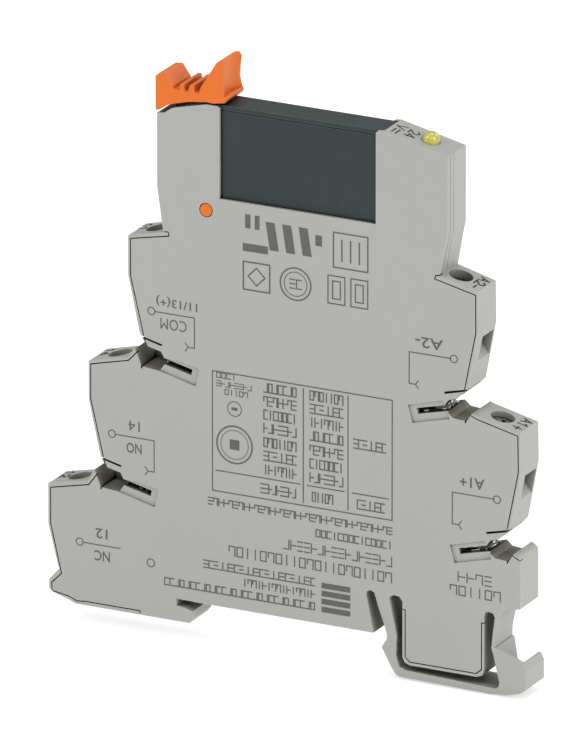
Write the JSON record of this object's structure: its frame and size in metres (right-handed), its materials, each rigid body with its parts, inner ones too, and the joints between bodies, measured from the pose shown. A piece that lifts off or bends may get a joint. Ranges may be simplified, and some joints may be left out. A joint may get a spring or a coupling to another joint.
{
  "type": "plug-in relay module",
  "caption": "Slim rail-mounted relay module: plug-in relay in a light grey terminal housing with an orange eject lever, status light, screw clamps and a spring latch.",
  "frame": {"origin": "middle of the seat on the rail's flanges, middle of the module's width", "axes": "+Z away from the rail, +X towards the latch side, +Y towards the far side face, along the rail"},
  "size_m": [0.08, 0.0062, 0.093],
  "materials": {
    "housing_plastic": "warm light grey moulded polyamide, fine matt grain",
    "busbar_metal": "tin-plated copper alloy strip",
    "clamp_steel": "zinc-plated steel",
    "screw_steel": "zinc-plated steel",
    "lever_plastic": "orange moulded plastic, satin",
    "relay_plastic": "dark green-grey moulded plastic, satin",
    "relay_base_plastic": "black moulded plastic",
    "contact_metal": "tinned and silver-faced copper alloy",
    "bobbin_plastic": "natural moulded plastic",
    "copper_wire": "enamelled copper wire",
    "soft_iron": "nickel-plated soft iron",
    "board_laminate": "glass-epoxy board with green solder mask",
    "component_plastic": "black moulded component bodies",
    "led_epoxy": "yellow tinted clear epoxy",
    "lead_metal": "tinned wire"
  },
  "bodies": {
    "housing": {"housing_shell": "housing_plastic", "side_cover": "housing_plastic", "latch_leg_inner": "housing_plastic", "latch_leg_outer": "housing_plastic", "circuit_board": "board_laminate", "board_components": "component_plastic", "led_lens": "led_epoxy", "led_leads": "lead_metal", "busbar_11": "busbar_metal", "busbar_14": "busbar_metal", "busbar_12": "busbar_metal", "busbar_a2": "busbar_metal", "busbar_a1": "busbar_metal"},
    "latch": {"latch_foot": "housing_plastic"},
    "lever": {"eject_lever": "lever_plastic"},
    "relay": {"relay_case": "relay_plastic", "relay_base": "relay_base_plastic", "blade_common": "contact_metal", "contact_open": "contact_metal", "contact_closed": "contact_metal", "coil_blades": "contact_metal", "coil_bobbin": "bobbin_plastic", "coil_winding": "copper_wire", "coil_core": "soft_iron", "coil_yoke": "soft_iron"},
    "armature": {"armature": "soft_iron"},
    "card": {"actuator_card": "bobbin_plastic"},
    "spring_blade": {"contact_spring": "contact_metal"},
    "screw_11": {"screw_11": "screw_steel"},
    "clamp_11": {"clamp_11": "clamp_steel"},
    "screw_14": {"screw_14": "screw_steel"},
    "clamp_14": {"clamp_14": "clamp_steel"},
    "screw_12": {"screw_12": "screw_steel"},
    "clamp_12": {"clamp_12": "clamp_steel"},
    "screw_a2": {"screw_a2": "screw_steel"},
    "clamp_a2": {"clamp_a2": "clamp_steel"},
    "screw_a1": {"screw_a1": "screw_steel"},
    "clamp_a1": {"clamp_a1": "clamp_steel"}
  },
  "joints": [
    {"name": "latch_pull", "type": "slide", "parent": "housing", "child": "latch", "axis": [1, 0, 0], "range_m": [0, 0.0009], "stiffness_N_per_m": 8000, "deforming": ["latch_leg_inner", "latch_leg_outer"]},
    {"name": "lever_tilt", "type": "hinge", "parent": "housing", "child": "lever", "pos_m": [-0.01263, 0, 0.0627], "axis": [0, -1, 0], "range_deg": [0, 20]},
    {"name": "relay_lift", "type": "slide", "parent": "housing", "child": "relay", "axis": [0, 0, 1], "range_m": [0, 0.00209]},
    {"name": "armature_swing", "type": "hinge", "parent": "relay", "child": "armature", "pos_m": [0.0004, 0, 0.0695], "axis": [0, 1, 0], "range_deg": [0, 4.8]},
    {"name": "card_slide", "type": "slide", "parent": "relay", "child": "card", "axis": [1, 0, 0], "range_m": [0, 0.000645], "stiffness_N_per_m": 300},
    {"name": "spring_flex", "type": "hinge", "parent": "relay", "child": "spring_blade", "pos_m": [-0.0043, 0, 0.0677], "axis": [0, 1, 0], "range_deg": [0, 3.9]},
    {"name": "screw_11_turn", "type": "hinge", "parent": "housing", "child": "screw_11", "pos_m": [-0.0222, 0, 0.0575], "axis": [0.2164, 0, -0.9763], "range_deg": [0, 1441]},
    {"name": "clamp_11_rise", "type": "slide", "parent": "housing", "child": "clamp_11", "axis": [-0.2164, 0, 0.9763], "range_m": [0, 0.002]},
    {"name": "screw_14_turn", "type": "hinge", "parent": "housing", "child": "screw_14", "pos_m": [-0.0286, 0, 0.0367], "axis": [0.2164, 0, -0.9763], "range_deg": [0, 1441]},
    {"name": "clamp_14_rise", "type": "slide", "parent": "housing", "child": "clamp_14", "axis": [-0.2164, 0, 0.9763], "range_m": [0, 0.002]},
    {"name": "screw_12_turn", "type": "hinge", "parent": "housing", "child": "screw_12", "pos_m": [-0.0354, 0, 0.016], "axis": [0.2164, 0, -0.9763], "range_deg": [0, 1441]},
    {"name": "clamp_12_rise", "type": "slide", "parent": "housing", "child": "clamp_12", "axis": [-0.2164, 0, 0.9763], "range_m": [0, 0.002]},
    {"name": "screw_a2_turn", "type": "hinge", "parent": "housing", "child": "screw_a2", "pos_m": [0.0282, 0, 0.0576], "axis": [-0.2164, 0, -0.9763], "range_deg": [0, 1441]},
    {"name": "clamp_a2_rise", "type": "slide", "parent": "housing", "child": "clamp_a2", "axis": [0.2164, 0, 0.9763], "range_m": [0, 0.002]},
    {"name": "screw_a1_turn", "type": "hinge", "parent": "housing", "child": "screw_a1", "pos_m": [0.0353, 0, 0.0368], "axis": [-0.2164, 0, -0.9763], "range_deg": [0, 1441]},
    {"name": "clamp_a1_rise", "type": "slide", "parent": "housing", "child": "clamp_a1", "axis": [0.2164, 0, 0.9763], "range_m": [0, 0.002]}
  ],
  "couplings": [
    {"joint": "lever_tilt", "follows": "relay_lift", "rad_per_m": 166.67},
    {"joint": "armature_swing", "follows": "card_slide", "rad_per_m": 129.87},
    {"joint": "spring_flex", "follows": "card_slide", "rad_per_m": 104.16},
    {"joint": "screw_11_turn", "follows": "clamp_11_rise", "rad_per_m": 12566},
    {"joint": "screw_14_turn", "follows": "clamp_14_rise", "rad_per_m": 12566},
    {"joint": "screw_12_turn", "follows": "clamp_12_rise", "rad_per_m": 12566},
    {"joint": "screw_a2_turn", "follows": "clamp_a2_rise", "rad_per_m": 12566},
    {"joint": "screw_a1_turn", "follows": "clamp_a1_rise", "rad_per_m": 12566}
  ]
}
